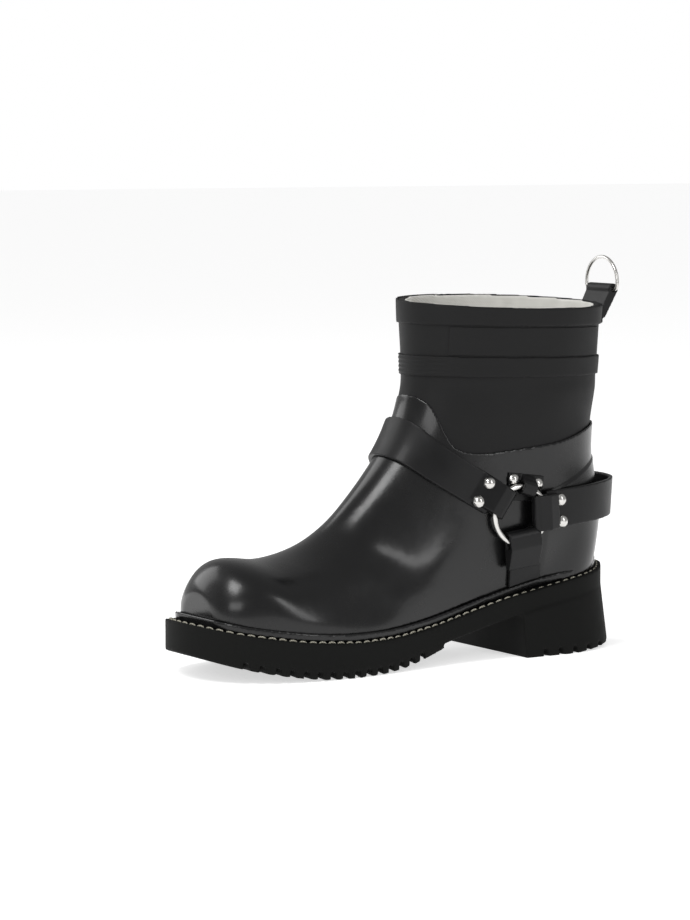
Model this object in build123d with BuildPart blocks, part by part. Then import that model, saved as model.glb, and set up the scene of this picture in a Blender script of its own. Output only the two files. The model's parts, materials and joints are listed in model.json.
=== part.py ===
"""Ankle-high rubber harness boot for the left foot, on a lugged block-heel sole.

Frame: millimetres, +Z up, toe towards -Y, heel towards +Y, outer (lateral) side +X.
The origin lies on the ground under the middle of the boot.
"""
import math
import os

from build123d import *

os.makedirs("parts", exist_ok=True)

# ---------------------------------------------------------------- driving sizes
TOE_Y = -149.0            # front tip of the outsole
REAR_Y = 143.8            # rear of the outsole
BREAST_Y = 63.5           # front face of the heel block
SEAM_Y = 67.0             # vamp and heel quarter meet here, under the sole straps

WELT_T = 4.0              # welt strip
SOLE_SIDE_T = 12.0        # welt and midsole together
LUG_DEPTH = 4.5
TOP_PIECE_T = 9.0         # lugged top piece under the heel block

# Depths of the upper's layers, measured from the outside of the vamp.
CAVITY = -5.2             # foot side of the lining
LINING_OUT = -4.0
STIFFENER_OUT = -3.0
SHAFT_OUT = -1.0
PANEL_OUT = -0.45
VAMP_OUT = 0.0
STRAP_OUT = 2.4
KEEPER_OUT = 1.4

WIDE = 90.0               # half width of the cutting prisms

RING_R = 16.8             # harness ring: centre line radius and wire radius
RING_WIRE = 1.7
RING_X = 43.3             # centre of the lateral ring
RING_Y = 58.0
RING_Z = 85.2
RING_YAW = 6.0            # how far the ring's face turns towards the toe, degrees
RING_GAP = 0.45           # clearance between a ring's wire and its strap folds
STRAP_T = 2.4

PULL_R = 15.5             # D-shaped pull ring at the back of the collar
PULL_WIRE = 1.1
PULL_LEG = 3.6
PULL_CORNER = 3.0
PULL_Y = 147.5
PULL_Z = 213.9
PULL_TAB_W = 24.0
PULL_GAP = 0.4

RIVET_R = 3.5
RIVET_H = 2.6

STITCH_PITCH = 6.0
STITCH_LEN = 4.4
STITCH_R = 0.55
STITCH_INSET = 2.6

# ---------------------------------------------------------------- side profiles
# Top of the welt and midsole, in the side view (y, z): toe spring, ball, rising heel.
WELT_LINE = [(-165, 38.0), (-153, 34.4), (-128, 28.4), (-92, 22.6), (-56, 19.8),
             (-26, 20.4), (6, 24.6), (56, 35.8), (102, 44.0), (150, 50.0)]
# Ground side of the forefoot tread.
TREAD_LINE = [(-165, 23.5), (-153, 17.6), (-128, 9.0), (-100, 3.2), (-76, 0.4),
              (-56, 0.0), (-36, 0.6), (-14, 4.0), (8, 10.5), (24, 15.5)]
TREAD_END_Y = 9.0

# ---------------------------------------------------------------- footprint
# Half widths of the outsole (y, lateral, medial) from toe to heel.
FOOTPRINT = [(-147.6, 10.5, 11.5), (-140.5, 25.5, 26.0), (-127.5, 38.2, 38.2),
             (-109.0, 47.0, 46.0), (-84.0, 52.0, 50.5), (-58.0, 52.2, 50.5),
             (-30.0, 48.0, 45.0), (-4.0, 42.5, 38.5), (22.0, 38.5, 35.2),
             (50.0, 37.2, 34.6), (78.0, 37.6, 35.6), (104.0, 36.2, 35.0),
             (124.0, 28.8, 28.3), (137.2, 14.8, 14.8)]


def mix(a, b, share):
    """Value a fraction of the way from a to b."""
    return a + (b - a) * share


def lookup(rows, y, column=1):
    """Straight-line value of a column of (y, ...) rows."""
    if y <= rows[0][0]:
        return rows[0][column]
    for low, high in zip(rows, rows[1:]):
        if y <= high[0]:
            return mix(low[column], high[column], (y - low[0]) / (high[0] - low[0]))
    return rows[-1][column]


def outline_points(inset):
    """Points round the footprint, moved inwards along its normals."""
    lateral = [(wide, y) for y, wide, _ in FOOTPRINT]
    medial = [(-wide, y) for y, _, wide in reversed(FOOTPRINT)]
    loop = [(0.0, TOE_Y)] + lateral + [(0.0, REAR_Y)] + medial
    count = len(loop)
    moved = []
    for index, (x, y) in enumerate(loop):
        before = loop[index - 1]
        after = loop[(index + 1) % count]
        run = (after[0] - before[0], after[1] - before[1])
        length = math.hypot(*run)
        moved.append((x - run[1] / length * inset, y + run[0] / length * inset))
    return moved


def footprint_block(inset, low, high, hollow=None):
    """Upright block on the footprint; with hollow set, a ring between two insets."""
    with BuildPart(mode=Mode.PRIVATE) as block:
        with BuildSketch(Plane.XY.offset(low)):
            with BuildLine():
                Spline(*outline_points(inset), periodic=True)
            make_face()
            if hollow is not None:
                with BuildLine():
                    Spline(*outline_points(hollow), periodic=True)
                make_face(mode=Mode.SUBTRACT)
        extrude(amount=high - low)
    return block.part


def side_prism(points, closed_by=()):
    """Prism across the boot from side-view points: a smooth top line and straight closings."""
    with BuildPart(mode=Mode.PRIVATE) as prism:
        with BuildSketch(Plane.YZ):
            with BuildLine():
                if closed_by:
                    Spline(*points)
                    Polyline(points[-1], *closed_by, points[0])
                else:
                    Polyline(*points, points[0])
            make_face()
        extrude(amount=WIDE, both=True)
    return prism.part


def between(line_a, shift_a, line_b, shift_b):
    """Prism across the boot between two side-view curves, each moved up by its shift."""
    lower = [(y, z + shift_a) for y, z in line_a]
    upper = [(y, z + shift_b) for y, z in line_b]
    with BuildPart(mode=Mode.PRIVATE) as prism:
        with BuildSketch(Plane.YZ):
            with BuildLine():
                Spline(*lower)
                Line(lower[-1], upper[-1])
                Spline(*reversed(upper))
                Line(upper[0], lower[0])
            make_face()
        extrude(amount=WIDE, both=True)
    return prism.part


# ---------------------------------------------------------------- upper form
# Stations from above the rim to the toe. Each row: front or top point (y, z), back or
# bottom point (y, z), lateral and medial half width, how much of the section the front
# takes to close, and where the back starts to close.
STATIONS = [
    ((4.8, 221.0), (139.8, 217.0), 47.5, 47.0, 0.52, 0.52),
    ((5.2, 205.0), (139.2, 201.5), 47.0, 46.5, 0.52, 0.52),
    ((6.2, 182.0), (137.8, 177.0), 45.0, 44.5, 0.52, 0.52),
    ((5.8, 160.0), (135.8, 152.0), 42.8, 42.3, 0.53, 0.53),
    ((1.0, 142.0), (133.4, 128.0), 41.0, 40.5, 0.54, 0.56),
    ((-8.0, 125.5), (134.4, 106.0), 39.5, 39.0, 0.54, 0.62),
    ((-19.5, 110.5), (138.8, 84.5), 38.7, 38.2, 0.52, 0.70),
    ((-32.0, 97.0), (140.4, 59.0), 38.0, 37.5, 0.52, 0.88),
    ((-44.5, 85.0), (124.0, 24.0), 38.0, 37.5, 0.52, 0.88),
    ((-56.5, 76.2), (75.0, 10.0), 39.0, 38.0, 0.52, 0.86),
    ((-70.0, 69.6), (20.0, -2.0), 42.0, 40.5, 0.52, 0.84),
    ((-86.0, 65.6), (-30.0, -4.0), 44.5, 43.0, 0.52, 0.84),
    ((-99.5, 65.2), (-70.0, -2.0), 44.0, 43.0, 0.50, 0.84),
    ((-112.0, 66.6), (-95.0, 2.0), 40.5, 40.0, 0.48, 0.84),
    ((-122.5, 65.0), (-113.0, 6.0), 34.5, 34.5, 0.48, 0.84),
    ((-130.6, 58.0), (-125.5, 12.0), 25.5, 25.5, 0.50, 0.84),
    ((-135.0, 48.0), (-132.5, 20.0), 13.5, 13.5, 0.52, 0.84),
]
FOOT_INSET = 6.6          # the upper stands this far inside the outsole's edge
FOOT_RISE = 46.0          # height over which the footprint's width gives way
TOE_CURVE_Y = -105.0      # in front of this the layers also step along Y
HALF_COUNT = 9
SECTION_START = 7         # the section's seam lies low on the lateral side


def foot_width(y, side):
    """Half width of the upper just above the welt."""
    return lookup(FOOTPRINT, y, 1 if side > 0 else 2) - FOOT_INSET


def station_section(row, depth):
    """Closed smooth section of the upper on one station plane, depth outwards."""
    (front_y, front_z), (back_y, back_z), lateral, medial, close_front, close_back = row
    nose = min(max((TOE_CURVE_Y - front_y) / (TOE_CURVE_Y - STATIONS[-1][0][0]), 0.0), 1.0)
    front_y -= depth * nose
    back_y -= depth * nose
    run = Vector(0, back_y - front_y, back_z - front_z)
    along = run.normalized()
    start = Vector(0, front_y, front_z) - along * depth
    length = run.length + 2 * depth
    sides = {}
    for side, full in ((1, lateral), (-1, medial)):
        points = []
        for index in range(1, HALF_COUNT + 1):
            share = (1 - math.cos(math.pi * index / (HALF_COUNT + 1))) / 2
            place = start + along * (length * share)
            height = place.Z - lookup(WELT_LINE, place.Y)
            rise = min(max(height / FOOT_RISE, 0.0), 1.0)
            rise = rise * rise * (3 - 2 * rise)
            half = mix(min(foot_width(place.Y, side), full + 4.0), full, rise)
            if share < close_front:
                half *= math.sqrt(1 - (1 - share / close_front) ** 2)
            if share > close_back:
                half *= math.sqrt(1 - ((share - close_back) / (1 - close_back)) ** 2)
            half += depth * min(1.0, half / 12.0)
            points.append(Vector(side * half, place.Y, place.Z))
        sides[side] = points
    end = start + along * length
    loop = [start] + sides[1] + [end] + list(reversed(sides[-1]))
    return loop[SECTION_START:] + loop[:SECTION_START]


def upper_form(depth):
    """Solid form of the upper, depth outwards from the outside of the vamp."""
    sections = []
    for row in STATIONS:
        points = station_section(row, depth)
        sections.append(Face(Wire([Edge.make_spline(points, periodic=True)])))
    with BuildPart(mode=Mode.PRIVATE) as form:
        loft(sections)
    return form.part


forms = {}
for layer in (CAVITY, LINING_OUT, STIFFENER_OUT, SHAFT_OUT, PANEL_OUT, VAMP_OUT, KEEPER_OUT,
              STRAP_OUT):
    forms[layer] = upper_form(layer)

# Side-view regions. The upper stands on the welt and ends at the rim.
RIM_LINE = [(-200.0, 213.0), (170.0, 203.6)]
RIM_TILT = 3.0            # the rim rises towards the inner side, degrees
RIM_PIVOT = (45.0, 207.0)
above_welt = side_prism(WELT_LINE, [(150, 240), (-165, 240)])
tilt_rim = Pos(RIM_PIVOT[0], 0, RIM_PIVOT[1]) * Rot(0, RIM_TILT, 0)
level_rim = side_prism(RIM_LINE + [(170, -30), (-200, -30)])
under_rim = tilt_rim * Pos(-RIM_PIVOT[0], 0, -RIM_PIVOT[1]) * level_rim


def layer_piece(inner, outer, *regions):
    """The wall between two depths of the upper, inside all the regions."""
    wall = forms[outer]
    for region in regions:
        wall = wall & region
    return wall - forms[inner]


# The vamp and heel quarter end at a ridge that climbs to a tongue over the instep.
RIDGE = [(-30.0, 156.6), (4.0, 156.2), (9.0, 153.0), (13.5, 144.0), (17.0, 133.0),
         (21.5, 125.5), (30.0, 122.4), (48.0, 122.8), (75.0, 125.4), (94.0, 128.0),
         (112.0, 132.2), (150.0, 136.0)]
LAP = 7.0                 # the shaft reaches this far under the foot pieces
under_ridge = side_prism(RIDGE, [(150, -30), (-30, -30), (-165, -30), (-165, 156.6)])
shaft_line = [(y, z - LAP) for y, z in RIDGE]
over_lap = side_prism(shaft_line, [(150, 240), (-30, 240)])
behind_seam = side_prism([(SEAM_Y, -30), (SEAM_Y, 240), (170, 240), (170, -30)])
before_seam = side_prism([(SEAM_Y, -30), (SEAM_Y, 240), (-170, 240), (-170, -30)])

with BuildPart() as lining:
    add(layer_piece(CAVITY, LINING_OUT, above_welt, under_rim))
lining.part.label = "lining"

with BuildPart() as shaft:
    add(layer_piece(LINING_OUT, SHAFT_OUT, under_rim, over_lap))
shaft.part.label = "shaft"

TOE_PUFF_END = -98.0
STIFFENER_START = 84.0
STIFFENER_TOP = [(STIFFENER_START, 98.5), (100.0, 103.0), (113.0, 110.0), (160.0, 118.0)]
before_puff = side_prism([(TOE_PUFF_END, -30), (TOE_PUFF_END + 8, 90), (-170, 90), (-170, -30)])
counter_zone = side_prism(STIFFENER_TOP, [(160, -30), (STIFFENER_START, -30)])

with BuildPart() as toe_puff:
    add(layer_piece(LINING_OUT, STIFFENER_OUT, above_welt, before_puff))
toe_puff.part.label = "toe_puff"

with BuildPart() as heel_stiffener:
    add(layer_piece(LINING_OUT, STIFFENER_OUT, above_welt, counter_zone))
heel_stiffener.part.label = "heel_stiffener"

with BuildPart() as vamp:
    add(layer_piece(LINING_OUT, VAMP_OUT, above_welt, under_ridge, before_seam))
    add(shaft.part, mode=Mode.SUBTRACT)
    add(toe_puff.part, mode=Mode.SUBTRACT)
vamp.part.label = "vamp"

with BuildPart() as heel_quarter:
    add(layer_piece(LINING_OUT, VAMP_OUT, above_welt, under_ridge, behind_seam))
    add(shaft.part, mode=Mode.SUBTRACT)
    add(heel_stiffener.part, mode=Mode.SUBTRACT)
heel_quarter.part.label = "heel_quarter"

# ---------------------------------------------------------------- bands on the shaft
COLLAR_LOW = [(-30.0, 197.6), (50.0, 195.9), (170.0, 193.0)]
BAND_TOP = [(-30.0, 179.4), (50.0, 177.6), (170.0, 174.6)]
BAND_LOW = [(-30.0, 166.8), (60.0, 165.7), (170.0, 163.4)]
PANEL_Y = (19.0, 122.0)
PANEL_MARGIN = 0.8
collar_zone = between(COLLAR_LOW, 0, COLLAR_LOW, 24)
band_zone = between(BAND_LOW, 0, BAND_TOP, 0)
panel_zone = between(BAND_TOP, PANEL_MARGIN, COLLAR_LOW, -PANEL_MARGIN)
panel_run = side_prism([(PANEL_Y[0], 150), (PANEL_Y[1], 150), (PANEL_Y[1], 220), (PANEL_Y[0], 220)])
with BuildPart(mode=Mode.PRIVATE) as lateral_half:
    Box(WIDE, 400, 500, align=(Align.MIN, Align.CENTER, Align.CENTER))

with BuildPart() as collar_band:
    add(layer_piece(SHAFT_OUT, VAMP_OUT, collar_zone, under_rim))
collar_band.part.label = "collar_band"

with BuildPart() as shaft_band:
    add(layer_piece(SHAFT_OUT, VAMP_OUT, band_zone))
shaft_band.part.label = "shaft_band"

with BuildPart() as side_panel:
    add(layer_piece(SHAFT_OUT, PANEL_OUT, panel_zone, panel_run, lateral_half.part))
side_panel.part.label = "side_panel"

# ---------------------------------------------------------------- sole
BEAD_H = 5.0
BEAD_LIMIT = 3.7          # the bead stays this far inside the welt's edge
INSOLE_T = 2.6
FOOTBED_T = 4.0
SHANK_T = 1.4
SHANK_W = 14.0
SHANK_Y = (-12.0, 92.0)

with BuildPart() as shank:
    with BuildSketch(Plane.XY):
        with Locations((0, (SHANK_Y[0] + SHANK_Y[1]) / 2)):
            RectangleRounded(SHANK_W, SHANK_Y[1] - SHANK_Y[0], 6.0)
    extrude(amount=90)
    add(between(WELT_LINE, -WELT_T - SHANK_T, WELT_LINE, -WELT_T), mode=Mode.INTERSECT)
shank.part.label = "shank"

with BuildPart() as midsole:
    add(footprint_block(0.0, -5.0, 70.0))
    add(between(WELT_LINE, -SOLE_SIDE_T, WELT_LINE, -WELT_T), mode=Mode.INTERSECT)
    add(shank.part, mode=Mode.SUBTRACT)
midsole.part.label = "midsole"

WELT_INNER = 15.0
with BuildPart() as welt:
    add(footprint_block(0.0, -5.0, 70.0, hollow=WELT_INNER))
    add(between(WELT_LINE, -WELT_T, WELT_LINE, 0), mode=Mode.INTERSECT)
welt.part.label = "welt"

with BuildPart() as bottom_filler:
    add(footprint_block(WELT_INNER, -5.0, 70.0))
    add(between(WELT_LINE, -WELT_T, WELT_LINE, 0), mode=Mode.INTERSECT)
bottom_filler.part.label = "bottom_filler"

with BuildPart() as rand_bead:
    add(forms[STRAP_OUT])
    add(footprint_block(BEAD_LIMIT, -5.0, 80.0), mode=Mode.INTERSECT)
    add(between(WELT_LINE, 0, WELT_LINE, BEAD_H), mode=Mode.INTERSECT)
    add(forms[VAMP_OUT], mode=Mode.SUBTRACT)
rand_bead.part.label = "rand_bead"

with BuildPart() as insole_board:
    add(forms[CAVITY])
    add(between(WELT_LINE, 0, WELT_LINE, INSOLE_T), mode=Mode.INTERSECT)
insole_board.part.label = "insole_board"

with BuildPart() as footbed:
    add(forms[CAVITY])
    add(between(WELT_LINE, INSOLE_T, WELT_LINE, INSOLE_T + FOOTBED_T), mode=Mode.INTERSECT)
footbed.part.label = "footbed"

# Lugged forefoot tread: blocks along both edges and short bars down the middle.
LUG_PITCH = 8.2
LUG_SLOT = 3.2
EDGE_SLOT_L = 13.0
SLOT_FIRST_Y = -124.6
SLOT_COUNT = 15
before_arch = side_prism([(TREAD_END_Y, -30), (TREAD_END_Y - 4, 60), (-170, 60), (-170, -30)])
with BuildPart(mode=Mode.PRIVATE) as tread_slots:
    with BuildSketch(Plane.XY.offset(-5)):
        for step in range(SLOT_COUNT):
            slot_y = SLOT_FIRST_Y + step * LUG_PITCH
            for side, column in ((1, 1), (-1, 2)):
                edge = lookup(FOOTPRINT, slot_y, column)
                with Locations((side * (edge - EDGE_SLOT_L / 2 + 4), slot_y)):
                    SlotOverall(EDGE_SLOT_L + 8, LUG_SLOT, rotation=-side * 12)
            if step % 2 == 1 and lookup(FOOTPRINT, slot_y, 2) > 36:
                with Locations((0, slot_y)):
                    SlotOverall(38, LUG_SLOT)
    extrude(amount=60)
    add(between(TREAD_LINE, -6, TREAD_LINE, LUG_DEPTH), mode=Mode.INTERSECT)
with BuildPart() as forefoot_tread:
    add(footprint_block(0.0, -5.0, 70.0))
    add(between(TREAD_LINE, 0, WELT_LINE, -SOLE_SIDE_T), mode=Mode.INTERSECT)
    add(before_arch, mode=Mode.INTERSECT)
    add(tread_slots.part, mode=Mode.SUBTRACT)
forefoot_tread.part.label = "forefoot_tread"

# Block heel: flares a little towards the ground; the top piece under it has lugs.
HEEL_FLARE = -4.4
with BuildPart(mode=Mode.PRIVATE) as heel_form:
    with BuildSketch(Plane.XY):
        with BuildLine():
            Spline(*outline_points(HEEL_FLARE), periodic=True)
        make_face()
    with BuildSketch(Plane.XY.offset(40)):
        with BuildLine():
            Spline(*outline_points(0.4), periodic=True)
        make_face()
    loft()
behind_breast = side_prism([(BREAST_Y + 1.5, -10), (BREAST_Y, 60), (170, 60), (170, -10)])
heel_rise = side_prism([(0, TOP_PIECE_T), (170, TOP_PIECE_T), (170, 60), (0, 60)])
under_midsole = side_prism([(y, z - SOLE_SIDE_T) for y, z in WELT_LINE], [(150, -30), (-165, -30)])
with BuildPart() as heel_block:
    add(heel_form.part)
    add(behind_breast, mode=Mode.INTERSECT)
    add(heel_rise, mode=Mode.INTERSECT)
    add(under_midsole, mode=Mode.INTERSECT)
heel_block.part.label = "heel_block"

HEEL_SLOTS_Y = [78.0, 89.0, 100.0, 111.0, 122.0]
HEEL_SLOT_L = 15.0
HEEL_BEVEL = [(100.0, -0.5), (106.0, 0.1), (126.0, 1.6), (155.0, 6.2)]
with BuildPart() as heel_top_piece:
    add(heel_form.part)
    add(behind_breast, mode=Mode.INTERSECT)
    add(heel_rise, mode=Mode.SUBTRACT)
    with BuildSketch(Plane.XY) as heel_slots:
        for slot_y in HEEL_SLOTS_Y:
            for side, column in ((1, 1), (-1, 2)):
                edge = lookup(FOOTPRINT, slot_y, column) + 3.0
                with Locations((side * (edge - HEEL_SLOT_L / 2 + 4), slot_y)):
                    SlotOverall(HEEL_SLOT_L + 8, LUG_SLOT, rotation=side * 8)
        with Locations((-11, 147), (11, 147)):
            SlotOverall(22, LUG_SLOT, rotation=90)
    extrude(amount=LUG_DEPTH, mode=Mode.SUBTRACT)
    add(side_prism(HEEL_BEVEL, [(155, -10), (100, -10)]), mode=Mode.SUBTRACT)
heel_top_piece.part.label = "heel_top_piece"

# Welt stitching: short stitches lying along the welt's outer edge.
stitch_route = Wire([Edge.make_spline([Vector(x, y) for x, y in outline_points(STITCH_INSET)],
                                      periodic=True)])
stitch_total = round(stitch_route.length / STITCH_PITCH)
with BuildPart() as welt_stitches:
    for index in range(stitch_total):
        share = index / stitch_total
        spot = stitch_route @ share
        heading = stitch_route % share
        ahead = spot + heading * 0.5
        slope = (lookup(WELT_LINE, ahead.Y) - lookup(WELT_LINE, spot.Y)) / 0.5
        run = Vector(heading.X, heading.Y, slope).normalized()
        centre = Vector(spot.X, spot.Y, lookup(WELT_LINE, spot.Y))
        start = centre - run * (STITCH_LEN / 2)
        with BuildSketch(Plane(origin=start, z_dir=run)):
            Circle(STITCH_R)
        extrude(amount=STITCH_LEN)
welt_stitches.part.label = "welt_stitches"
print("stitches", stitch_total)

# ---------------------------------------------------------------- straps round the ankle
# Instep strap, in the side view: it crosses the instep and runs down to both rings.
STRAP_TOP = [(-22.0, 150.0), (0.0, 141.6), (8.0, 132.6), (18.0, 123.4), (32.0, 114.2), (50.0, 103.0)]
STRAP_FOOT = [(40.0, 84.6), (24.0, 94.0), (11.0, 102.2), (2.0, 108.4), (-9.0, 117.6), (-40.0, 142.0)]
# Sole straps: from each ring down to the rand bead, sloping back a little.
SOLE_STRAP = [(54.0, 73.0), (58.5, 30.0), (81.5, 30.0), (76.5, 73.0)]
KEEPER = [(51.5, 94.0), (52.5, 110.2), (76.8, 107.0), (75.0, 92.0)]

INSTEP_END = 146.0        # direction of each strap from the ring's centre, degrees
HEEL_END = 3.0
SOLE_END = -82.0
KEEPER_END = 72.7
INSTEP_HALF = 9.0
HEEL_HALF = 10.5
SOLE_HALF = 10.5
KEEPER_HALF = 4.5
FOLD_T = 2.2

ring_yaw = math.radians(RING_YAW)
ring_centre = Vector(RING_X, RING_Y, RING_Z)
ring_out = Vector(math.cos(ring_yaw), -math.sin(ring_yaw), 0)
ring_back = Vector(math.sin(ring_yaw), math.cos(ring_yaw), 0)


def strap_end(direction, half, taper, top, low):
    """Fold of a strap round the lateral ring's wire, with a wedge down to the strap."""
    turn = math.radians(direction)
    pull = ring_back * math.cos(turn) + Vector(0, 0, 1) * math.sin(turn)
    near = math.sqrt(RING_R ** 2 - half ** 2)
    near -= RING_WIRE * (RING_R / near - 1)
    hole = RING_WIRE + RING_GAP
    skin = hole + FOLD_T
    middle = (near + RING_R) / 2
    end = RING_R + taper
    with BuildPart(mode=Mode.PRIVATE) as fold:
        with BuildSketch(Plane(origin=ring_centre, x_dir=pull, z_dir=pull.cross(ring_out))):
            with Locations((middle, 0)):
                SlotCenterToCenter(RING_R - near, 2 * skin)
            with BuildLine():
                Polyline((middle, skin), (RING_R + 2, skin), (end, top), (end, low),
                         (RING_R, -skin), (middle, -skin), (middle, skin))
            make_face()
            with Locations((middle, 0)):
                SlotCenterToCenter(RING_R - near, 2 * hole, mode=Mode.SUBTRACT)
        extrude(amount=half, both=True)
    return fold.part


def both_sides(shape):
    """A lateral shape with its mirror on the medial side."""
    return [shape, shape.mirror(Plane.YZ)]


instep_zone = side_prism(STRAP_TOP, STRAP_FOOT)
LAYER_TOP = -2.6          # the strap lying on the boot, measured from the ring's plane
LAYER_LOW = -6.5
ring_window = Pos(RING_X, RING_Y, RING_Z) * Rot(0, 90, 0) * Cylinder(RING_R + 4.5, 400)

with BuildPart() as instep_strap:
    add(layer_piece(VAMP_OUT, STRAP_OUT, instep_zone))
    add(ring_window, mode=Mode.SUBTRACT)
    add(both_sides(strap_end(INSTEP_END, INSTEP_HALF, 17.0, LAYER_TOP, LAYER_LOW)))
    add(forms[VAMP_OUT], mode=Mode.SUBTRACT)
instep_strap.part.label = "instep_strap"

# Heel strap: a ribbon that stands off the heel and flares open at its upper edge.
HEEL_RIBBON_T = 2.4
RIBBON_LOW = [(43.4, 0.0), (42.8, 14.0), (38.4, 38.0), (25.0, 57.8), (0.0, 65.0)]
RIBBON_HIGH = [(43.4, 0.0), (43.2, 14.0), (39.6, 39.5), (26.2, 60.0), (0.0, 67.8)]
RIBBON_START = (79.0, 75.8)
RIBBON_W = 22.5
RIBBON_TILT = 4.0
tilt = math.radians(RIBBON_TILT)
ribbon_up = Vector(0, -math.sin(tilt), math.cos(tilt))


def ribbon_points(half_route, shrink):
    """Route round the heel, lateral end to medial end, moved inwards."""
    moved = []
    for index, (x, y) in enumerate(half_route):
        before = half_route[max(index - 1, 0)]
        after = half_route[min(index + 1, len(half_route) - 1)]
        run = (after[0] - before[0], after[1] - before[1])
        if index == len(half_route) - 1:
            run = (-1.0, 0.0)
        length = math.hypot(*run)
        moved.append((x - run[1] / length * shrink, y + run[0] / length * shrink))
    return moved + [(-x, y) for x, y in reversed(moved[:-1])]


with BuildPart() as heel_strap:
    for route, lift in ((RIBBON_LOW, 0.0), (RIBBON_HIGH, RIBBON_W)):
        corner = Vector(0, RIBBON_START[0], RIBBON_START[1]) + ribbon_up * lift
        outside = ribbon_points(route, 0.0)
        inside = ribbon_points(route, HEEL_RIBBON_T)
        with BuildSketch(Plane(origin=corner, x_dir=(1, 0, 0), z_dir=ribbon_up)):
            with BuildLine():
                Spline(*outside)
                Line(outside[-1], inside[-1])
                Spline(*reversed(inside))
                Line(inside[0], outside[0])
            make_face()
    loft()
    add(both_sides(strap_end(HEEL_END, HEEL_HALF, 9.0, 1.2, -1.4)))
    add(forms[VAMP_OUT], mode=Mode.SUBTRACT)
heel_strap.part.label = "heel_strap"

sole_zone = side_prism(SOLE_STRAP)
above_bead = between(WELT_LINE, BEAD_H + 0.3, [(y, 240.0) for y, _ in WELT_LINE], 0)
with BuildPart(mode=Mode.PRIVATE) as sole_straps:
    add(layer_piece(VAMP_OUT, STRAP_OUT, sole_zone, above_bead))
    add(both_sides(strap_end(SOLE_END, SOLE_HALF, 15.0, LAYER_TOP, LAYER_LOW)))
    add(forms[VAMP_OUT], mode=Mode.SUBTRACT)
    add(heel_strap.part, mode=Mode.SUBTRACT)
with BuildPart() as lateral_sole_strap:
    add(sole_straps.part)
    add(lateral_half.part, mode=Mode.INTERSECT)
lateral_sole_strap.part.label = "lateral_sole_strap"
with BuildPart() as medial_sole_strap:
    add(sole_straps.part)
    add(lateral_half.part, mode=Mode.SUBTRACT)
medial_sole_strap.part.label = "medial_sole_strap"

with BuildPart(mode=Mode.PRIVATE) as keepers:
    add(layer_piece(VAMP_OUT, KEEPER_OUT, side_prism(KEEPER)))
    add(both_sides(strap_end(KEEPER_END, KEEPER_HALF, 7.0, LAYER_TOP, LAYER_LOW)))
    add(forms[VAMP_OUT], mode=Mode.SUBTRACT)
    add(instep_strap.part, mode=Mode.SUBTRACT)
    add(heel_strap.part, mode=Mode.SUBTRACT)
with BuildPart() as lateral_ring_keeper:
    add(keepers.part)
    add(lateral_half.part, mode=Mode.INTERSECT)
lateral_ring_keeper.part.label = "lateral_ring_keeper"
with BuildPart() as medial_ring_keeper:
    add(keepers.part)
    add(lateral_half.part, mode=Mode.SUBTRACT)
medial_ring_keeper.part.label = "medial_ring_keeper"

# ---------------------------------------------------------------- rings
with BuildPart() as lateral_ring:
    with BuildSketch(Plane(origin=ring_centre, x_dir=ring_back, z_dir=ring_back.cross(ring_out))):
        with Locations((RING_R, 0)):
            Circle(RING_WIRE)
    revolve(axis=Axis(ring_centre, ring_out))
lateral_ring.part.label = "lateral_ring"

with BuildPart() as medial_ring:
    add(lateral_ring.part.mirror(Plane.YZ))
medial_ring.part.label = "medial_ring"

# D-ring: a straight bar in the tab's fold, short legs and a half-round top.
leg_low = PULL_Z + PULL_CORNER
leg_high = PULL_Z + PULL_LEG
with BuildPart() as pull_ring:
    with BuildLine(Plane.XZ.offset(-PULL_Y)) as pull_path:
        bar_half = PULL_R - PULL_CORNER
        Line((-bar_half, PULL_Z), (bar_half, PULL_Z))
        RadiusArc((bar_half, PULL_Z), (PULL_R, leg_low), -PULL_CORNER)
        Line((PULL_R, leg_low), (PULL_R, leg_high))
        ThreePointArc((PULL_R, leg_high), (0, leg_high + PULL_R), (-PULL_R, leg_high))
        Line((-PULL_R, leg_high), (-PULL_R, leg_low))
        RadiusArc((-PULL_R, leg_low), (-bar_half, PULL_Z), -PULL_CORNER)
    with BuildSketch(Plane(origin=(0, PULL_Y, PULL_Z), z_dir=(1, 0, 0))):
        Circle(PULL_WIRE)
    sweep(path=pull_path.line)
pull_ring.part.label = "pull_ring"

# Pull tab: up the outside of the collar, folded round the D-ring's bar.
TAB_T = 1.9
TAB_LOW_Z = 193.6
TAB_BEND_Z = 202.0
TAB_LEAN = [(139.2, 196.5), (141.4, 197.0), (150.6, 212.6), (145.6, 215.0), (139.2, 203.0)]
tab_hole = PULL_WIRE + PULL_GAP
with BuildPart() as pull_tab:
    add(forms[STRAP_OUT])
    with BuildSketch(Plane.YZ):
        with Locations((PULL_Y, (TAB_LOW_Z + TAB_BEND_Z) / 2)):
            Rectangle(40, TAB_BEND_Z - TAB_LOW_Z)
    extrude(amount=PULL_TAB_W / 2, both=True, mode=Mode.INTERSECT)
    with BuildSketch(Plane.YZ):
        with BuildLine():
            Polyline(*TAB_LEAN, TAB_LEAN[0])
        make_face()
    extrude(amount=PULL_TAB_W / 2, both=True)
    add(forms[VAMP_OUT], mode=Mode.SUBTRACT)
    with BuildSketch(Plane.YZ):
        with Locations((PULL_Y, PULL_Z)):
            Circle(tab_hole + TAB_T)
    extrude(amount=PULL_TAB_W / 2, both=True)
    with BuildSketch(Plane.YZ):
        with Locations((PULL_Y, PULL_Z)):
            Circle(tab_hole)
    extrude(amount=PULL_TAB_W, both=True, mode=Mode.SUBTRACT)
pull_tab.part.label = "pull_tab"

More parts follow.
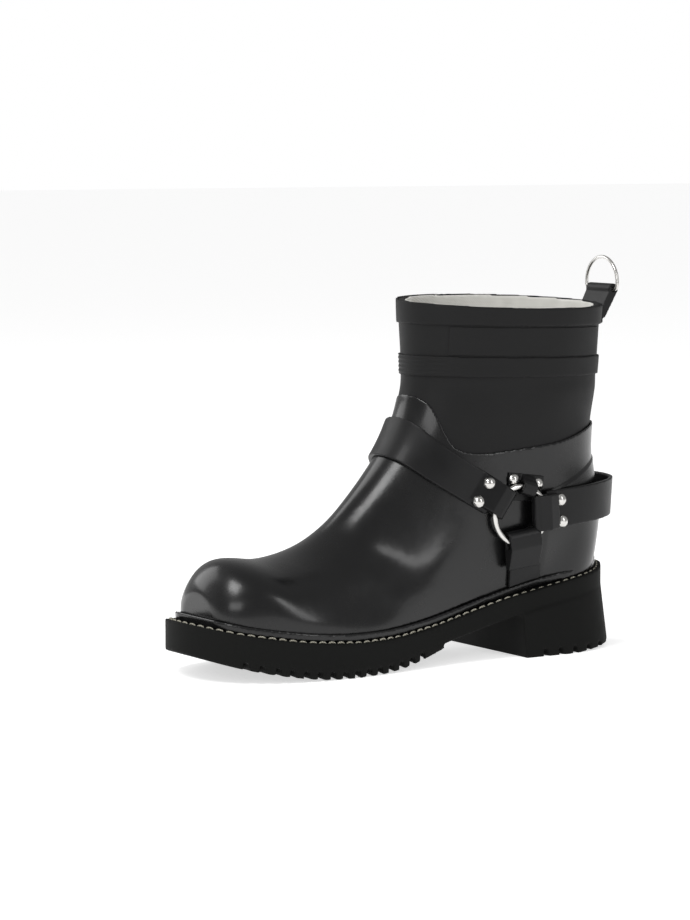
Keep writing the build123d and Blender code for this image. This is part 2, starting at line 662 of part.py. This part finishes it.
# ---------------------------------------------------------------- dome rivets
# Where they sit in the side view (y, z), on which strap.
RIVET_PLACES = [
    (instep_strap, 37.5, 105.0), (instep_strap, 30.5, 94.6),
    (lateral_ring_keeper, 55.6, 105.8), (lateral_ring_keeper, 72.2, 102.4),
    (heel_strap, 87.2, 92.6), (heel_strap, 88.6, 79.8),
]
SHANK_R = 1.3
SHANK_L = 3.4
HEAD_SEAT = 0.1
RIVET_LIP = 0.6
cap_h = RIVET_H - RIVET_LIP
dome_r = (RIVET_R ** 2 + cap_h ** 2) / (2 * cap_h)


def outer_spot(solid, y, z, side):
    """Outermost point of a piece along X at (y, z), and its outward normal."""
    hits = solid.find_intersection_points(Axis((side * WIDE, y, z), (-side, 0, 0)))
    spot, normal = max(hits, key=lambda hit: side * hit[0].X)
    return spot, normal if side * normal.X > 0 else normal * -1


def rivet(spot, normal):
    """Domed rivet whose head rests on a strap, with its shank in the strap."""
    across = normal.cross(Vector(0, 0, 1)).normalized()
    with BuildPart(mode=Mode.PRIVATE) as dome:
        with BuildSketch(Plane(origin=spot, x_dir=normal, z_dir=across)):
            with BuildLine():
                Polyline((RIVET_H, 0), (-SHANK_L, 0), (-SHANK_L, SHANK_R), (HEAD_SEAT, SHANK_R),
                         (HEAD_SEAT, RIVET_R), (RIVET_LIP, RIVET_R))
                RadiusArc((RIVET_LIP, RIVET_R), (RIVET_H, 0), dome_r)
            make_face()
        revolve(axis=Axis(spot, normal))
    return dome.part


lateral_heads = []
medial_heads = []
for strap, y, z in RIVET_PLACES:
    partner = medial_ring_keeper if strap is lateral_ring_keeper else strap
    lateral_heads.append(rivet(*outer_spot(strap.part, y, z, 1)))
    medial_heads.append(rivet(*outer_spot(partner.part, y, z, -1)))
with BuildPart() as lateral_rivets:
    add(lateral_heads)
lateral_rivets.part.label = "lateral_rivets"
with BuildPart() as medial_rivets:
    add(medial_heads)
medial_rivets.part.label = "medial_rivets"

pieces = [lining, shaft, toe_puff, heel_stiffener, vamp, heel_quarter, collar_band, shaft_band,
          side_panel, shank, midsole, welt, bottom_filler, rand_bead, insole_board, footbed,
          forefoot_tread, heel_block, heel_top_piece, welt_stitches, instep_strap, heel_strap,
          lateral_sole_strap, medial_sole_strap, lateral_ring_keeper, medial_ring_keeper,
          lateral_ring, medial_ring, pull_ring, pull_tab, lateral_rivets, medial_rivets]
for piece in pieces:
    export_step(piece.part, f"parts/{piece.part.label}.step")
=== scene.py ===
"""Ankle-high rubber harness boot, left foot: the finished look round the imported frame."""
import json
import math

import bpy
import numpy as np
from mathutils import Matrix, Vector


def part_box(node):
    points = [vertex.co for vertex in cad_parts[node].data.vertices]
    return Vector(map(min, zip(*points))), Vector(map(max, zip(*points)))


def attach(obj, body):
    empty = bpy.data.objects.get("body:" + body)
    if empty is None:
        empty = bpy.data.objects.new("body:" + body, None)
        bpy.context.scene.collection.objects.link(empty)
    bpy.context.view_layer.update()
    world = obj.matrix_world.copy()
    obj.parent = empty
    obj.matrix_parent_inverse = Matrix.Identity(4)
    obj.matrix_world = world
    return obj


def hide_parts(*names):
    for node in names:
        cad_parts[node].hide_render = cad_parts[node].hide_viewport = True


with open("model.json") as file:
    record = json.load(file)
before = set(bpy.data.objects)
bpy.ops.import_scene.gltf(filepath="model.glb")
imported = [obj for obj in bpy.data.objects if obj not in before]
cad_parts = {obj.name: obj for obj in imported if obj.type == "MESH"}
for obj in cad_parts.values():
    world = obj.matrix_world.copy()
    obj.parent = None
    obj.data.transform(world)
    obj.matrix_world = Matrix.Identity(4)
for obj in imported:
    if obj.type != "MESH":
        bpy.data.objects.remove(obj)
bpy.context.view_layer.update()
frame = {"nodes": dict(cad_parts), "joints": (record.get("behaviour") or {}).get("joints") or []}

# ---------------------------------------------------------------- studio
# A pale floor that runs to the horizon, a white surround, and four soft boxes: a high
# key over the toe, a long box on the heel side, a fill and a low box before the vamp. Not part of the boot.
scene = bpy.context.scene
scene.view_settings.view_transform = "Standard"


def principled(name):
    """New node material; returns it with its node tree and Principled shader."""
    material = bpy.data.materials.new(name)
    material.use_nodes = True
    tree = material.node_tree
    return material, tree, tree.nodes["Principled BSDF"]


def node(tree, kind, **inputs):
    """Adds a shader node and sets its sockets by name, spaces written as underscores."""
    made = tree.nodes.new(kind)
    for key, value in inputs.items():
        made.inputs[key.replace("_", " ")].default_value = value
    return made


FLOOR_REACH = 14.0
FLOOR_LIFT = 0.60                     # the sweep is lit from below the table as well
floor_mesh = bpy.data.meshes.new("floor")
floor_mesh.from_pydata([(-FLOOR_REACH, -FLOOR_REACH, 0), (FLOOR_REACH, -FLOOR_REACH, 0),
                        (FLOOR_REACH, FLOOR_REACH, 0), (-FLOOR_REACH, FLOOR_REACH, 0)], [],
                       [(0, 1, 2, 3)])
floor = bpy.data.objects.new("floor", floor_mesh)
scene.collection.objects.link(floor)
paint, tree, shader = principled("studio_floor")
shader.inputs["Base Color"].default_value = (0.88, 0.88, 0.88, 1)
shader.inputs["Emission Color"].default_value = (1, 1, 1, 1)
shader.inputs["Emission Strength"].default_value = FLOOR_LIFT
shader.inputs["Roughness"].default_value = 0.9
shader.inputs["Specular IOR Level"].default_value = 0.1
floor_mesh.materials.append(paint)

world = bpy.data.worlds.new("studio")
world.use_nodes = True
scene.world = world
sky = world.node_tree
lit = sky.nodes["Background"]
lit.inputs["Color"].default_value = (1, 1, 1, 1)
lit.inputs["Strength"].default_value = 0.40
seen = sky.nodes.new("ShaderNodeBackground")
seen.inputs["Color"].default_value = (1, 1, 1, 1)
seen.inputs["Strength"].default_value = 1.0
ray = sky.nodes.new("ShaderNodeLightPath")
choose = sky.nodes.new("ShaderNodeMixShader")
sky.links.new(ray.outputs["Is Camera Ray"], choose.inputs[0])
sky.links.new(lit.outputs[0], choose.inputs[1])
sky.links.new(seen.outputs[0], choose.inputs[2])
sky.links.new(choose.outputs[0], sky.nodes["World Output"].inputs[0])

SOFT_BOXES = [
    ("key_box", (0.35, -1.25, 1.75), (0.7, 0.7), 17.0),
    ("side_box", (1.75, 0.55, 0.95), (0.35, 1.4), 7.0),
    ("fill_box", (-1.6, -0.9, 1.1), (1.3, 1.3), 12.0),
    ("front_box", (1.10, -1.70, 0.85), (1.0, 0.5), 6.0),
]
for name, place, size, power in SOFT_BOXES:
    lamp = bpy.data.lights.new(name, "AREA")
    lamp.shape = "RECTANGLE"
    lamp.size, lamp.size_y = size
    lamp.energy = power
    box = bpy.data.objects.new(name, lamp)
    scene.collection.objects.link(box)
    box.location = place
    aim = Vector((0.0, 0.0, 0.09)) - Vector(place)
    box.rotation_euler = aim.to_track_quat("-Z", "Y").to_euler()

CAMERA_TURN = math.radians(58.0)      # round from the toe towards the outer side
CAMERA_REACH = 2.0
CAMERA_HEIGHT = 0.310
CAMERA_PITCH = math.radians(5.5)
CAMERA_SIDE = -0.024
CAMERA_AFT = -0.0075
FRAME_LENS = 134.6
away = Vector((-math.sin(CAMERA_TURN), math.cos(CAMERA_TURN), 0))
across = Vector((math.cos(CAMERA_TURN), math.sin(CAMERA_TURN), 0))
camera = bpy.data.objects.new("camera", bpy.data.cameras.new("camera"))
scene.collection.objects.link(camera)
camera.location = (-away * CAMERA_REACH + across * CAMERA_SIDE
                   + Vector((0, CAMERA_AFT, CAMERA_HEIGHT)))
look = away * math.cos(CAMERA_PITCH) - Vector((0, 0, math.sin(CAMERA_PITCH)))
camera.rotation_euler = look.to_track_quat("-Z", "Y").to_euler()
camera.data.lens = FRAME_LENS
camera.data.sensor_width = 36.0
camera.data.clip_end = 60.0
scene.camera = camera

# ---------------------------------------------------------------- foot (vamp and quarter)
# The glossy lower boot: calendered rubber laid over the last in two pieces whose seam the
# sole straps hide. Its top edge steps out from the leg and climbs to a tongue on the instep.
RUBBER_STEP = 0.0006
GALOSH_CALM = 16


def solid_copy(name, *nodes):
    """New piece with the joined shape of CAD nodes, placed in the row frame."""
    points, faces = [], []
    for key in nodes:
        source = frame["nodes"][key]
        start = len(points)
        points += [source.matrix_world @ v.co for v in source.data.vertices]
        faces += [[start + i for i in p.vertices] for p in source.data.polygons]
    mesh = bpy.data.meshes.new(name)
    mesh.from_pydata(points, [], faces)
    piece = bpy.data.objects.new(name, mesh)
    scene.collection.objects.link(piece)
    return piece


def settle(piece):
    """Applies the piece's modifiers and shades it smooth."""
    shown = piece.evaluated_get(bpy.context.evaluated_depsgraph_get())
    mesh = bpy.data.meshes.new_from_object(shown)
    piece.modifiers.clear()
    piece.data = mesh
    mesh.polygons.foreach_set("use_smooth", [True] * len(mesh.polygons))


def soften(piece, step, calm, strength=0.5):
    """Even skin of small faces over the piece, with its edges rounded as moulding leaves them."""
    skin = piece.modifiers.new("skin", "REMESH")
    skin.mode = "VOXEL"
    skin.voxel_size = step
    if calm:
        ease = piece.modifiers.new("ease", "SMOOTH")
        ease.factor = strength
        ease.iterations = calm
    settle(piece)


def coordinates(piece):
    """Vertex positions and normals of a piece as arrays."""
    mesh = piece.data
    place = np.empty(len(mesh.vertices) * 3, dtype=np.float32)
    mesh.vertices.foreach_get("co", place)
    facing = np.empty(len(mesh.vertices) * 3, dtype=np.float32)
    mesh.vertex_normals.foreach_get("vector", facing)
    return place.reshape(-1, 3).astype(float), facing.reshape(-1, 3).astype(float)


def place_points(piece, place):
    """Writes vertex positions back to a piece."""
    piece.data.vertices.foreach_set("co", place.astype(np.float32).ravel())
    piece.data.update()


def bulge(points, centre, spread):
    """1 at centre, falling smoothly to 0 a few spreads away."""
    away = (points - np.array(centre)) / np.array(spread)
    return np.exp(-(away ** 2).sum(axis=1))


def step_up(value, start, end):
    """0 below start, 1 above end, smooth between."""
    share = np.clip((value - start) / (end - start), 0, 1)
    return share * share * (3 - 2 * share)


def finish_piece(piece, material, body, slot, *nodes):
    """Gives a piece its material and body and hides the CAD nodes it stands for. The slot argument is not
    used.
    """
    piece.data.materials.clear()
    piece.data.materials.append(material)
    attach(piece, body)
    if nodes:
        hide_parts(*nodes)


def rubber(name, colour, rough, spread, grain, grain_scale, coat, bloom, shine):
    """Rubber: dusty bloom in the colour, patchy gloss, fine grain and slow waves in relief."""
    material, tree, shader = principled(name)
    where = tree.nodes.new("ShaderNodeTexCoord")
    patch = node(tree, "ShaderNodeTexNoise", Scale=26.0, Detail=5.0, Roughness=0.6)
    fine = node(tree, "ShaderNodeTexNoise", Scale=grain_scale, Detail=3.0, Roughness=0.55)
    slow = node(tree, "ShaderNodeTexNoise", Scale=55.0, Detail=1.0)
    for texture in (patch, fine, slow):
        tree.links.new(where.outputs["Object"], texture.inputs["Vector"])
    tint = tree.nodes.new("ShaderNodeValToRGB")
    tint.color_ramp.elements[0].position = 0.35
    tint.color_ramp.elements[0].color = (*colour, 1)
    tint.color_ramp.elements[1].position = 0.8
    tint.color_ramp.elements[1].color = (*[c + bloom for c in colour], 1)
    tree.links.new(patch.outputs["Fac"], tint.inputs["Fac"])
    tree.links.new(tint.outputs["Color"], shader.inputs["Base Color"])
    gloss = node(tree, "ShaderNodeMapRange", From_Min=0.3, From_Max=0.7)
    gloss.inputs["To Min"].default_value = rough
    gloss.inputs["To Max"].default_value = rough + spread
    tree.links.new(patch.outputs["Fac"], gloss.inputs["Value"])
    tree.links.new(gloss.outputs["Result"], shader.inputs["Roughness"])
    waves = node(tree, "ShaderNodeBump", Strength=0.12, Distance=0.0008)
    pores = node(tree, "ShaderNodeBump", Strength=grain, Distance=0.00012)
    tree.links.new(slow.outputs["Fac"], waves.inputs["Height"])
    tree.links.new(fine.outputs["Fac"], pores.inputs["Height"])
    tree.links.new(waves.outputs["Normal"], pores.inputs["Normal"])
    tree.links.new(pores.outputs["Normal"], shader.inputs["Normal"])
    shader.inputs["Specular IOR Level"].default_value = shine
    shader.inputs["Coat Weight"].default_value = coat
    shader.inputs["Coat Roughness"].default_value = 0.12
    return material


glossy = rubber("glossy_rubber", (0.0030, 0.0030, 0.0032), 0.19, 0.12, 0.08, 1400.0, 0.10, 0.002,
                0.38)
foot = solid_copy("foot_galosh", "vamp", "heel_quarter")
soften(foot, RUBBER_STEP, GALOSH_CALM)
place, facing = coordinates(foot)
# The counter under the heel strap: a second thickness whose edge rises to the back.
COUNTER_T = 0.0007
COUNTER_START_Y = 0.084
COUNTER_START_Z = 0.0985
COUNTER_SLOPE = 0.39
COUNTER_ROLL = 0.0016                 # how far the edge takes to round over
COUNTER_HALF_W = 0.026                # nearer the middle than this only the heel has it
COUNTER_HEEL_Y = 0.118
HEEL_CENTRE_Y = 0.07
counter_edge = COUNTER_START_Z + (place[:, 1] - COUNTER_START_Y) * COUNTER_SLOPE
counter = step_up(counter_edge - place[:, 2], 0.0, COUNTER_ROLL)
counter *= step_up(place[:, 1], COUNTER_START_Y - 0.006, COUNTER_START_Y - 0.001)
side_out = facing.copy()
side_out[:, 2] = 0
side_out /= np.maximum(np.linalg.norm(side_out, axis=1), 1e-6)[:, None]
wide = (np.abs(place[:, 0]) > COUNTER_HALF_W) | (place[:, 1] > COUNTER_HEEL_Y)
outward = (side_out[:, 0] * place[:, 0] + side_out[:, 1] * (place[:, 1] - HEEL_CENTRE_Y)) > 0
place += side_out * (counter * COUNTER_T * wide * outward)[:, None]
# Soft hollows where the foot bends: depth, centre and spread of each.
HOLLOWS = [
    (0.0016, (0.043, -0.045, 0.038), (0.018, 0.022, 0.010)),
    (0.0010, (0.030, -0.020, 0.062), (0.020, 0.016, 0.012)),
    (0.0010, (-0.036, -0.040, 0.045), (0.018, 0.022, 0.012)),
]
for depth, centre, spread in HOLLOWS:
    place -= facing * (depth * bulge(place, centre, spread))[:, None]
place_points(foot, place)
finish_piece(foot, glossy, "boot", "rubber_gloss", "vamp", "heel_quarter")

# ---------------------------------------------------------------- shaft and its bands
# The leg of the boot is matte sheet rubber on cotton. A collar band binds the rim, a ribbed
# band runs round below it, and a plain flat panel lies between them on the outer side.
SHAFT_STEP = 0.0011
BAND_STEP = 0.0006
matte = rubber("matte_rubber", (0.0050, 0.0050, 0.0052), 0.50, 0.14, 0.22, 2200.0, 0.0, 0.003,
               0.20)
shaft = solid_copy("shaft_leg", "shaft")
soften(shaft, SHAFT_STEP, 8)
place, facing = coordinates(shaft)
DRAPE_DEPTH = 0.0006
DRAPE_ROWS = 95                       # waves up the leg, radians a metre
DRAPE_TURN = 40                       # and how fast they wander round it
lean = DRAPE_DEPTH * np.sin(place[:, 2] * DRAPE_ROWS + 1.2 * np.sin(place[:, 1] * DRAPE_TURN))
drape = lean * step_up(place[:, 2], 0.120, 0.150) * (1 - step_up(place[:, 2], 0.155, 0.166))
place += facing * drape[:, None] * np.sign(facing[:, 0] * place[:, 0] + 1e-9)[:, None]
place_points(shaft, place)
finish_piece(shaft, matte, "boot", "rubber_matte", "shaft")

COLLAR_CALM = 3
collar = solid_copy("collar_binding", "collar_band")
soften(collar, BAND_STEP, COLLAR_CALM)
finish_piece(collar, matte, "boot", "rubber_matte", "collar_band")

band = solid_copy("ribbed_band", "shaft_band")
soften(band, BAND_STEP, 2)
place, facing = coordinates(band)
BAND_SLOPE = 0.034                    # the band drops this much towards the heel
BAND_W = 0.0125
RIB_COUNT = 5
RIB_DEPTH = 0.00045
RIBS_FADE_Y = (0.010, 0.026)
level = place[:, 2] + (place[:, 1] - 0.005) * BAND_SLOPE
rib_pitch = BAND_W / RIB_COUNT
ribs = 0.5 + 0.5 * np.cos(level * 2 * math.pi / rib_pitch)
at_front = 1 - step_up(place[:, 1], *RIBS_FADE_Y)
place -= facing * (RIB_DEPTH * ribs ** 2 * at_front)[:, None]
place_points(band, place)
finish_piece(band, matte, "boot", "rubber_matte", "shaft_band")

panel = solid_copy("plain_side_panel", "side_panel")
PANEL_STEP = 0.00035                  # the panel is thin, so its skin is finer
soften(panel, PANEL_STEP, 2)
finish_piece(panel, matte, "boot", "rubber_matte", "side_panel")

# ---------------------------------------------------------------- straps, keepers and tab
# Flat straps cut from semi-gloss sheet rubber: one over the instep, one round the heel, one
# down each side to the sole. Each is folded round a ring and riveted; the tab holds the loop.
STRAP_STEP = 0.0005
KEEPER_STEP = 0.0004
strap_rubber = rubber("strap_rubber", (0.0045, 0.0045, 0.0048), 0.34, 0.14, 0.16, 1800.0, 0.04, 0.003,
                      0.22)
STRAPS = [("instep_strap", "instep_harness_strap", 4), ("heel_strap", "heel_harness_strap", 5),
          ("lateral_sole_strap", "outer_down_strap", 4), ("medial_sole_strap", "inner_down_strap", 4),
          ("lateral_ring_keeper", "outer_ring_keeper", 2), ("medial_ring_keeper", "inner_ring_keeper", 2),
          ("pull_tab", "heel_pull_tab", 3)]
for source, name, calm in STRAPS:
    strap = solid_copy(name, source)
    soften(strap, KEEPER_STEP if "keeper" in name else STRAP_STEP, calm)
    finish_piece(strap, strap_rubber, "boot", "strap_rubber", source)

# ---------------------------------------------------------------- cotton lining
# Natural cotton canvas bonded inside the rubber, turned over and trimmed at the rim.
def canvas(name, warp_colour, weft_colour, threads):
    """Plain weave: crossed bands of thread in relief and in colour."""
    material, tree, shader = principled(name)
    where = tree.nodes.new("ShaderNodeTexCoord")
    warp = node(tree, "ShaderNodeTexWave", Scale=threads, Distortion=0.4)
    warp.bands_direction = "Z"
    weft = node(tree, "ShaderNodeTexWave", Scale=threads, Distortion=0.4)
    weft.bands_direction = "DIAGONAL"
    slub = node(tree, "ShaderNodeTexNoise", Scale=180.0, Detail=4.0)
    for texture in (warp, weft, slub):
        tree.links.new(where.outputs["Object"], texture.inputs["Vector"])
    weave = tree.nodes.new("ShaderNodeMath")
    weave.operation = "MULTIPLY"
    tree.links.new(warp.outputs["Fac"], weave.inputs[0])
    tree.links.new(weft.outputs["Fac"], weave.inputs[1])
    height = tree.nodes.new("ShaderNodeMath")
    height.operation = "ADD"
    tree.links.new(weave.outputs[0], height.inputs[0])
    tree.links.new(slub.outputs["Fac"], height.inputs[1])
    tint = tree.nodes.new("ShaderNodeValToRGB")
    tint.color_ramp.elements[0].position = 0.3
    tint.color_ramp.elements[0].color = (*weft_colour, 1)
    tint.color_ramp.elements[1].position = 1.1
    tint.color_ramp.elements[1].color = (*warp_colour, 1)
    tree.links.new(height.outputs[0], tint.inputs["Fac"])
    tree.links.new(tint.outputs["Color"], shader.inputs["Base Color"])
    bump = node(tree, "ShaderNodeBump", Strength=0.5, Distance=0.0003)
    tree.links.new(height.outputs[0], bump.inputs["Height"])
    tree.links.new(bump.outputs["Normal"], shader.inputs["Normal"])
    shader.inputs["Roughness"].default_value = 0.92
    shader.inputs["Sheen Weight"].default_value = 0.25
    return material


cotton = canvas("cotton_canvas", (0.80, 0.79, 0.75), (0.60, 0.59, 0.55), 380.0)
lining = solid_copy("cotton_lining", "lining")
LINING_STEP = 0.0010
soften(lining, LINING_STEP, 5)
finish_piece(lining, cotton, "boot", "lining_cotton", "lining")

# ---------------------------------------------------------------- footbed
# A foam insole under a woven cover, pressed in on top of the insole board.
cover = canvas("footbed_cover", (0.42, 0.41, 0.38), (0.30, 0.29, 0.27), 300.0)
footbed = solid_copy("covered_footbed", "footbed")
FOOTBED_STEP = 0.0013
soften(footbed, FOOTBED_STEP, 6)
finish_piece(footbed, cover, "boot", "footbed_fabric", "footbed")

# ---------------------------------------------------------------- rand bead
# A glossy round bead cemented in the corner between the upper and the welt.
bead = solid_copy("rand_bead_cord", "rand_bead")
BEAD_STEP = 0.0007
soften(bead, BEAD_STEP, 9)
finish_piece(bead, glossy, "boot", "rubber_gloss", "rand_bead")

# ---------------------------------------------------------------- sole
# Welt, midsole, lugged tread, heel block and its top piece are cemented together and buffed
# flush, so they read as one matte wall with softly scalloped lugs along the ground.
sole_rubber = rubber("sole_rubber", (0.0035, 0.0037, 0.0033), 0.62, 0.16, 0.35, 1200.0, 0.0, 0.003,
                     0.12)
SOLE_STEP = 0.0008
SOLE_CALM = 5
SOLE_NODES = ("welt", "midsole", "forefoot_tread", "heel_block", "heel_top_piece")
sole = solid_copy("lugged_unit_sole", *SOLE_NODES)
soften(sole, SOLE_STEP, SOLE_CALM)
finish_piece(sole, sole_rubber, "boot", "sole_rubber", *SOLE_NODES)

# ---------------------------------------------------------------- welt stitching
# Waxed thread sewn through the welt: each stitch lies proud in the middle and dips into the
# rubber at both ends, with the twist of its plies showing.
THREAD_R = 0.00052
STITCH_RISE = 0.00030
STITCH_DIP = 0.00055
thread, tree, shader = principled("waxed_thread")
where = tree.nodes.new("ShaderNodeTexCoord")
twist = node(tree, "ShaderNodeTexWave", Scale=420.0, Distortion=1.2)
twist.bands_direction = "DIAGONAL"
tree.links.new(where.outputs["Object"], twist.inputs["Vector"])
tint = tree.nodes.new("ShaderNodeValToRGB")
tint.color_ramp.elements[0].color = (0.20, 0.19, 0.145, 1)
tint.color_ramp.elements[1].color = (0.46, 0.44, 0.37, 1)
tree.links.new(twist.outputs["Fac"], tint.inputs["Fac"])
tree.links.new(tint.outputs["Color"], shader.inputs["Base Color"])
plies = node(tree, "ShaderNodeBump", Strength=0.6, Distance=0.0002)
tree.links.new(twist.outputs["Fac"], plies.inputs["Height"])
tree.links.new(plies.outputs["Normal"], shader.inputs["Normal"])
shader.inputs["Roughness"].default_value = 0.7


def islands(key):
    """Vertex groups of the separate solids in a CAD node, as arrays of positions."""
    mesh = frame["nodes"][key].data
    parent = list(range(len(mesh.vertices)))

    def root(i):
        while parent[i] != i:
            parent[i] = parent[parent[i]]
            i = parent[i]
        return i

    spots = {}
    for vertex in mesh.vertices:
        tag = tuple(round(c, 7) for c in vertex.co)
        parent[vertex.index] = spots.setdefault(tag, vertex.index)
    for edge in mesh.edges:
        a, b = root(edge.vertices[0]), root(edge.vertices[1])
        parent[a] = b
    groups = {}
    for vertex in mesh.vertices:
        groups.setdefault(root(vertex.index), []).append(tuple(vertex.co))
    return [np.array(points) for points in groups.values()]


def tube(points, radii, around, closed=False):
    """Vertices and faces of a round tube along points, with end caps if it is open."""
    count = len(points)
    verts, faces = [], []
    for i, point in enumerate(points):
        before = points[i - 1] if closed or i else points[0]
        after = points[(i + 1) % count] if closed or i < count - 1 else points[-1]
        run = (Vector(after) - Vector(before)).normalized()
        side = run.cross(Vector((0.0137, 0.0071, 1.0))).normalized()
        up = side.cross(run)
        for k in range(around):
            turn = 2 * math.pi * k / around
            verts.append(Vector(point) + (side * math.cos(turn) + up * math.sin(turn)) * radii[i])
    for i in range(count if closed else count - 1):
        for k in range(around):
            a, b = i * around, ((i + 1) % count) * around
            j = (k + 1) % around
            faces.append((a + k, a + j, b + j, b + k))
    if not closed:
        faces.append(tuple(reversed(range(around))))
        faces.append(tuple(range((count - 1) * around, count * around)))
    return verts, faces


def piece_from(name, verts, faces):
    """New smooth-shaded piece from vertices and faces."""
    mesh = bpy.data.meshes.new(name)
    mesh.from_pydata([tuple(v) for v in verts], [], faces)
    mesh.polygons.foreach_set("use_smooth", [True] * len(mesh.polygons))
    piece = bpy.data.objects.new(name, mesh)
    scene.collection.objects.link(piece)
    return piece


verts, faces = [], []
for points in islands("welt_stitches"):
    middle = points.mean(axis=0)
    lie = np.linalg.svd(points - middle)[2][0]
    half = (points - middle) @ lie
    length = (half.max() - half.min()) / 2
    route, radii = [], []
    for k in range(9):
        share = k / 4 - 1
        drop = STITCH_RISE - (STITCH_RISE + STITCH_DIP) * abs(share) ** 3
        route.append(middle + lie * share * length + np.array((0, 0, drop)))
        radii.append(THREAD_R * (1 - 0.35 * abs(share) ** 4))
    some, quads = tube(route, radii, 8)
    faces += [tuple(i + len(verts) for i in face) for face in quads]
    verts += some
stitching = piece_from("welt_stitching", verts, faces)
finish_piece(stitching, thread, "boot", "thread", "welt_stitches")

# ---------------------------------------------------------------- rings and rivets
# Harness rings, D-shaped pull ring and domed rivets: bent or turned steel wire, nickel plated
# and tumbled, so the shine is broken by fine random scratches.
nickel, tree, shader = principled("nickel_plate")
where = tree.nodes.new("ShaderNodeTexCoord")
haze = node(tree, "ShaderNodeTexNoise", Scale=300.0, Detail=4.0)
scuff = node(tree, "ShaderNodeTexNoise", Scale=2600.0, Detail=2.0)
for texture in (haze, scuff):
    tree.links.new(where.outputs["Object"], texture.inputs["Vector"])
sheen = node(tree, "ShaderNodeMapRange", From_Min=0.3, From_Max=0.75)
sheen.inputs["To Min"].default_value = 0.14
sheen.inputs["To Max"].default_value = 0.30
tree.links.new(haze.outputs["Fac"], sheen.inputs["Value"])
tree.links.new(sheen.outputs["Result"], shader.inputs["Roughness"])
tint = tree.nodes.new("ShaderNodeValToRGB")
tint.color_ramp.elements[0].color = (0.52, 0.51, 0.49, 1)
tint.color_ramp.elements[1].color = (0.74, 0.73, 0.71, 1)
tree.links.new(haze.outputs["Fac"], tint.inputs["Fac"])
tree.links.new(tint.outputs["Color"], shader.inputs["Base Color"])
scratch = node(tree, "ShaderNodeBump", Strength=0.12, Distance=0.00005)
tree.links.new(scuff.outputs["Fac"], scratch.inputs["Height"])
tree.links.new(scratch.outputs["Normal"], shader.inputs["Normal"])
shader.inputs["Metallic"].default_value = 1.0

RING_WIRE = 0.0017
RING_AROUND = 96
WIRE_AROUND = 20
for joint in frame["joints"]:
    if not joint["name"].endswith("_spin"):
        continue
    key = "lateral_ring" if joint["name"].startswith("lateral") else "medial_ring"
    low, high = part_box(key)
    centre = Vector([(a + b) / 2 for a, b in zip(low, high)])
    radius = (high[2] - low[2]) / 2 - RING_WIRE
    out = Vector(joint["axis"]).normalized()
    flat = Vector((0, 0, 1)).cross(out).normalized()
    rise = out.cross(flat)
    verts, faces = [], []
    for i in range(RING_AROUND):
        turn = 2 * math.pi * i / RING_AROUND
        spoke = flat * math.cos(turn) + rise * math.sin(turn)
        for k in range(WIRE_AROUND):
            roll = 2 * math.pi * k / WIRE_AROUND
            verts.append(centre + spoke * (radius + RING_WIRE * math.cos(roll))
                         + out * (RING_WIRE * math.sin(roll)))
            here = i * WIRE_AROUND
            there = ((i + 1) % RING_AROUND) * WIRE_AROUND
            after = (k + 1) % WIRE_AROUND
            faces.append((here + k, there + k, there + after, here + after))
    ring = piece_from(key + "_wire", verts, faces)
    finish_piece(ring, nickel, "outer_ring" if "lateral" in key else "inner_ring", "nickel", key)

for key in ("lateral_rivets", "medial_rivets", "pull_ring"):
    metal = frame["nodes"][key]
    metal.data.materials.clear()
    metal.data.materials.append(nickel)

# ---------------------------------------------------------------- inner parts
# Board, filler, shank and stiffeners are closed in by the sole and the lining.
board, tree, shader = principled("fibre_board")
fibres = node(tree, "ShaderNodeTexNoise", Scale=400.0, Detail=6.0)
tint = tree.nodes.new("ShaderNodeValToRGB")
tint.color_ramp.elements[0].color = (0.20, 0.15, 0.10, 1)
tint.color_ramp.elements[1].color = (0.36, 0.29, 0.20, 1)
tree.links.new(fibres.outputs["Fac"], tint.inputs["Fac"])
tree.links.new(tint.outputs["Color"], shader.inputs["Base Color"])
shader.inputs["Roughness"].default_value = 0.85
INNER = {"insole_board": board, "bottom_filler": board, "shank": nickel,
         "toe_puff": matte, "heel_stiffener": matte}
for key, material in INNER.items():
    inner = frame["nodes"][key]
    inner.data.materials.clear()
    inner.data.materials.append(material)
